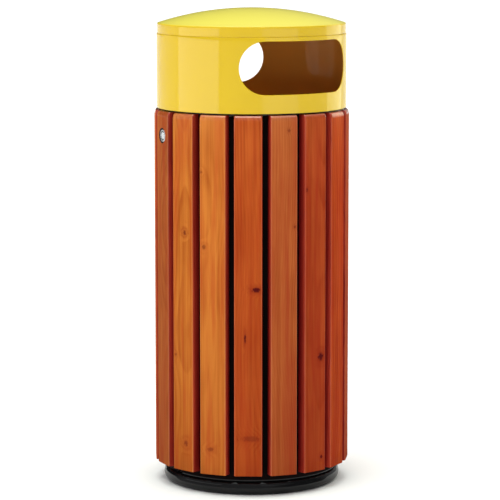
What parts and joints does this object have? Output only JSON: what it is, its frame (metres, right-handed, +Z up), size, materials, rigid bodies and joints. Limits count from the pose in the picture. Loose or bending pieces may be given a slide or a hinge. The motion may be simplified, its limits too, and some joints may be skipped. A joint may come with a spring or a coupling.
{
  "type": "litter bin",
  "caption": "Cylindrical litter bin with vertical wooden slats on a steel body, a rear door, a domed steel hood with two openings and a lift-out liner.",
  "frame": {"origin": "on the bin's vertical axis, at the floor that the base ring stands on", "axes": "+Z up; -Y is the middle of the fixed front half of the slatted body and +Y the middle of the rear door; +X is the door's hinge side and -X its lock side"},
  "size_m": [0.399, 0.3972, 0.972],
  "materials": {
    "slat_wood": "planed softwood with a reddish-brown satin stain",
    "hood_coat": "glossy yellow powder coat on sheet steel",
    "frame_coat": "satin black powder coat",
    "zinc_steel": "bright zinc plate",
    "lock_chrome": "polished chrome plate",
    "galvanised": "hot-dip galvanised sheet with a soft spangle",
    "pad_rubber": "matt moulded rubber",
    "grip_plastic": "matt moulded plastic"
  },
  "bodies": {
    "carcass": {"carcass_slat_1": "slat_wood", "carcass_slat_2": "slat_wood", "carcass_slat_3": "slat_wood", "carcass_slat_4": "slat_wood", "carcass_slat_5": "slat_wood", "carcass_slat_6": "slat_wood", "carcass_slat_7": "slat_wood", "carcass_slat_8": "slat_wood", "hood_shell": "hood_coat", "hood_lid": "hood_coat", "hood_flange": "hood_coat", "base_ring": "frame_coat", "carcass_shell": "frame_coat", "carcass_hoop_lower": "frame_coat", "carcass_hoop_upper": "frame_coat", "carcass_post_hinge": "frame_coat", "carcass_post_lock": "frame_coat", "top_ring": "frame_coat", "base_plate": "zinc_steel", "hood_bolt_1": "zinc_steel", "hood_bolt_2": "zinc_steel", "hood_bolt_3": "zinc_steel", "hood_bolt_4": "zinc_steel", "hinge_leaf_carcass_lower": "zinc_steel", "hinge_leaf_carcass_upper": "zinc_steel", "hinge_pin_lower": "zinc_steel", "hinge_pin_upper": "zinc_steel", "lock_keeper": "zinc_steel", "liner_pad_1": "pad_rubber", "liner_pad_2": "pad_rubber", "liner_pad_3": "pad_rubber"},
    "door": {"door_slat_1": "slat_wood", "door_slat_2": "slat_wood", "door_slat_3": "slat_wood", "door_slat_4": "slat_wood", "door_slat_5": "slat_wood", "door_slat_6": "slat_wood", "door_slat_7": "slat_wood", "door_slat_8": "slat_wood", "door_slat_9": "slat_wood", "door_shell": "frame_coat", "door_hoop_lower": "frame_coat", "door_hoop_upper": "frame_coat", "door_stile_hinge": "frame_coat", "door_stile_lock": "frame_coat", "hinge_leaf_door_lower": "zinc_steel", "hinge_leaf_door_upper": "zinc_steel", "lock_barrel": "lock_chrome", "lock_nut": "zinc_steel"},
    "lock": {"lock_plug": "lock_chrome", "lock_cam": "zinc_steel", "cam_screw": "zinc_steel"},
    "liner": {"liner_bucket": "galvanised", "liner_ear_left": "galvanised", "liner_ear_right": "galvanised"},
    "bail": {"bail_wire": "zinc_steel", "bail_grip": "grip_plastic"}
  },
  "joints": [
    {"name": "door_hinge", "type": "hinge", "parent": "carcass", "child": "door", "pos_m": [0.19417, -0.01799, 0.4], "axis": [0, 0, -1], "range_deg": [0, 110]},
    {"name": "lock_turn", "type": "hinge", "parent": "door", "child": "lock", "pos_m": [-0.17923, 0.01661, 0.718], "axis": [0.9957, -0.0923, 0], "range_deg": [0, 90]},
    {"name": "liner_lift", "type": "slide", "parent": "carcass", "child": "liner", "axis": [0, 0, 1], "range_m": [0, 0.03]},
    {"name": "bail_swing", "type": "hinge", "parent": "liner", "child": "bail", "pos_m": [0, 0, 0.6554], "axis": [1, 0, 0], "range_deg": [0, 180]}
  ]
}
